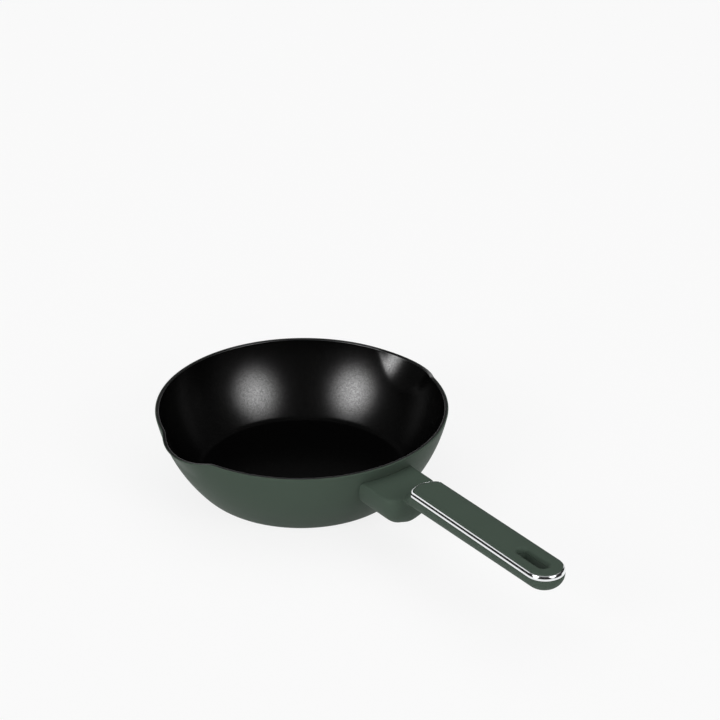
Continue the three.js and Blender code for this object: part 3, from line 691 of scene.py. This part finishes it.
# Grip cover
# A slightly crowned plate let into the band, pulled down on the flange by two screws in its bosses. The
# hanging slot has a soft rounded lip.
COVER_INSET = BAND_RIM + FIT_GAP
PLUG_INSET = BAND_RIM + FLANGE_WIDTH + FIT_GAP
COVER_UNDERSIDE = FLANGE_TOP + FIT_GAP
COVER_EDGE = 0.3
COVER_CROWN = 0.6
COVER_CROWN_RUN = 5
COVER_CREASE = 35
cover_profile = [(PLUG_INSET, BAND_BOTTOM), (PLUG_INSET, COVER_UNDERSIDE), (COVER_INSET, COVER_UNDERSIDE)]
cover_profile += [(COVER_INSET + COVER_EDGE * (1 - c), BAND_TOP - COVER_EDGE * (1 - s))
                  for s, c in quarter(RIM_STEPS)]
for s, c in quarter(BEND_STEPS)[1:]:
    run = COVER_EDGE + (COVER_CROWN_RUN - COVER_EDGE) * (1 - c)
    cover_profile.append((COVER_INSET + run, BAND_TOP + COVER_CROWN * s))
grip_cover = skin("crowned_cover", [grip_ring(inset, height) for inset, height in cover_profile])
for x in COVER_SCREWS_X:
    cut(grip_cover, bar("boss", BOSS_RADIUS, BOSS_END, COVER_UNDERSIDE, x), "UNION")
    cut(grip_cover, bar("thread", COVER_SCREW_RADIUS + FIT_GAP, BOSS_END - PAST, BOSS_END + PAST, x))
cover_top = BAND_TOP + COVER_CROWN
slot_rings = [slot_ring(0, BOSS_END)]
for s, c in quarter(BEND_STEPS):
    slot_rings.append(slot_ring(SLOT_LIP * (1 - c), cover_top - SLOT_LIP_DEPTH * (1 - s)))
slot_rings.append(slot_ring(SLOT_LIP, cover_top + PAST))
cut(grip_cover, skin("slot", slot_rings))
smooth(grip_cover, COVER_CREASE)
grip_cover.data.materials.clear()
grip_cover.data.materials.append(soft_touch)
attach(grip_cover, "root")
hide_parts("grip_cover")

# Screws and washer
# The fixing screw with its split washer, and the two cover screws, all driven from below into their bores.
# They sit deep in the handle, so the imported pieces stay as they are.

# Zinc-plated steel is a cool light grey with a fine mottle.
MOTTLE_WIDTH = 0.6
zinc = new_material("zinc_plated_steel")
place = node(zinc, "TexCoord", {}).outputs["Object"]
mottle = node(zinc, "TexNoise", {"Vector": place, "Scale": per(MOTTLE_WIDTH), "Detail": 3}).outputs["Fac"]
tint = node(zinc, "ValToRGB", {"Fac": mottle})
tint.color_ramp.elements[0].color = colour("#b4b8bc")
tint.color_ramp.elements[1].color = colour("#d0d3d6")
skin_shader = node(zinc, "BsdfPrincipled", {
    "Base Color": tint.outputs["Color"], "Metallic": 1, "Roughness": 0.32})
node(zinc, "OutputMaterial", {"Surface": skin_shader.outputs["BSDF"]})
for name in ("fixing_screw", "lock_washer", "cover_screw_front", "cover_screw_rear"):
    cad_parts[name].data.materials.clear()
    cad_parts[name].data.materials.append(zinc)

# Floor
# A wide, pale, matt studio floor that the pan stands on. It lies a hair low, so that it never fights with
# the standing face.
FLOOR_HALF = 8000
FLOOR_DROP = 0.2
FLOOR_SLAB = 10
studio_floor = block("studio_floor", -FLOOR_HALF, FLOOR_HALF, FLOOR_HALF,
                     -FLOOR_DROP - FLOOR_SLAB, -FLOOR_DROP)

# Pale paper is an even white with a barely visible cloud. Part of what the eye and the mirrors meet is the
# paper's own white, so that the ground stays even and the shadow light.
GROUND_SHARE = 0.86
PAPER_CLOUD = 300
paper = new_material("pale_paper")
place = node(paper, "TexCoord", {}).outputs["Object"]
cloud = node(paper, "TexNoise", {"Vector": place, "Scale": per(PAPER_CLOUD), "Detail": 2}).outputs["Fac"]
tint = node(paper, "ValToRGB", {"Fac": cloud})
tint.color_ramp.elements[0].color = colour("#f2f2f2")
tint.color_ramp.elements[1].color = colour("#f4f4f4")
lit_paper = node(paper, "BsdfDiffuse", {"Color": tint.outputs["Color"]}).outputs["BSDF"]
own_white = node(paper, "Emission", {"Color": colour("#fdfdfd"), "Strength": 1}).outputs["Emission"]
path = node(paper, "LightPath", {}).outputs
seen = path["Is Camera Ray"]
for ray in ("Is Glossy Ray", "Is Transmission Ray"):
    seen = node(paper, "Math", {0: seen, 1: path[ray]}, operation="ADD").outputs["Value"]
share = node(paper, "MapRange", {"Value": seen, "To Max": GROUND_SHARE}).outputs["Result"]
mixed = node(paper, "MixShader", {0: share, 1: lit_paper, 2: own_white}).outputs["Shader"]
node(paper, "OutputMaterial", {"Surface": mixed})
studio_floor.data.materials.append(paper)

# Studio light
# A broad sheet of light overhead, a fill from the front, two soft round lamps beside the camera that glance
# off the back of the bowl, and a low white backdrop behind the pan. Two white cards light the chrome alone.
LAMP_MIDDLE = (0.5, 0.5, 0)
LAMP_EDGE = 0.5
ROOM_GLOW = 0.03
scene = bpy.context.scene


def lamp(name, location, target, width, height, power, shape="ELLIPSE"):
    """A flat lamp that faces a target; places and sizes in metres."""
    light = bpy.data.lights.new(name, "AREA")
    light.shape = shape
    light.size = width
    light.size_y = height
    light.energy = power
    holder = bpy.data.objects.new(name, light)
    holder.location = location
    holder.rotation_euler = (Vector(target) - Vector(location)).to_track_quat("-Z", "Y").to_euler()
    holder.visible_camera = False
    scene.collection.objects.link(holder)
    return holder


def soften(light):
    """Lets a lamp fade from its middle to its edge, as cloth before a bulb does. A lamp measures its own
    face from 0 to 1."""
    light.use_nodes = True
    place = node(light, "NewGeometry", {}).outputs["Parametric"]
    off = node(light, "VectorMath", {0: place, 1: LAMP_MIDDLE}, operation="DISTANCE").outputs["Value"]
    glow = node(light, "MapRange", {"Value": off, "From Min": LAMP_EDGE, "From Max": 0},
                interpolation_type="SMOOTHSTEP").outputs["Result"]
    light.node_tree.links.new(glow, light.node_tree.nodes["Emission"].inputs["Strength"])


overhead = lamp("overhead", location=(-0.8, 0.6, 2.6), target=(-0.8, 0.6, 0), width=5, height=5, power=62)
front = lamp("front", location=(3.24, -2.36, 0.9), target=(0.1, 0, 0.05), width=3, height=2, power=28)
for sheet in (overhead, front):
    sheet.visible_glossy = False
lamp_right = lamp("lamp_right", location=(5.056, 0.838, 2.98), target=(-0.099, 0.025, 0.028),
                  width=5, height=5, power=400)
lamp_left = lamp("lamp_left", location=(0.454, -5.226, 2.764), target=(-0.049, 0.09, 0.028),
                 width=5, height=5, power=490)
for round_lamp in (lamp_right, lamp_left):
    soften(round_lamp.data)
lamp("backdrop", location=(-2.145, 1.8, 0.43), target=(0, 0, 0.06),
     width=4.4, height=0.8, power=10, shape="RECTANGLE")
side_card = lamp("side_card", location=(-2.929, -0.26, 1.756), target=(0.24, 0, 0.066),
                 width=5.56, height=2.34, power=38.8, shape="RECTANGLE")
high_card = lamp("high_card", location=(0.2, 0, 2.5), target=(0.2, 0, 0), width=5, height=5, power=22)
mirrors = bpy.data.collections.new("mirrors")
mirrors.objects.link(trim_band)
for card in (side_card, high_card):
    card.light_linking.receiver_collection = mirrors
room = bpy.data.worlds.new("dim_room")
room.use_nodes = True
room.node_tree.nodes["Background"].inputs["Color"].default_value = colour("#ffffff")
room.node_tree.nodes["Background"].inputs["Strength"].default_value = ROOM_GLOW
scene.world = room
scene.view_settings.view_transform = "Standard"

# Camera
# A long lens, looking down on the pan from the handle's side. Its place is in metres; film and focal length
# are in millimetres.
FILM_WIDTH = 36
FOCAL_LENGTH = 163.3
CAMERA_PLACE = (1.9081, -1.3526, 1.3616)
CAMERA_AIM = (-0.7086, 0.5243, -0.4722)
camera = bpy.data.objects.new("camera", bpy.data.cameras.new("camera"))
camera.data.sensor_width = FILM_WIDTH
camera.data.lens = FOCAL_LENGTH
camera.location = CAMERA_PLACE
camera.rotation_euler = Vector(CAMERA_AIM).to_track_quat("-Z", "Y").to_euler()
scene.collection.objects.link(camera)
scene.camera = camera
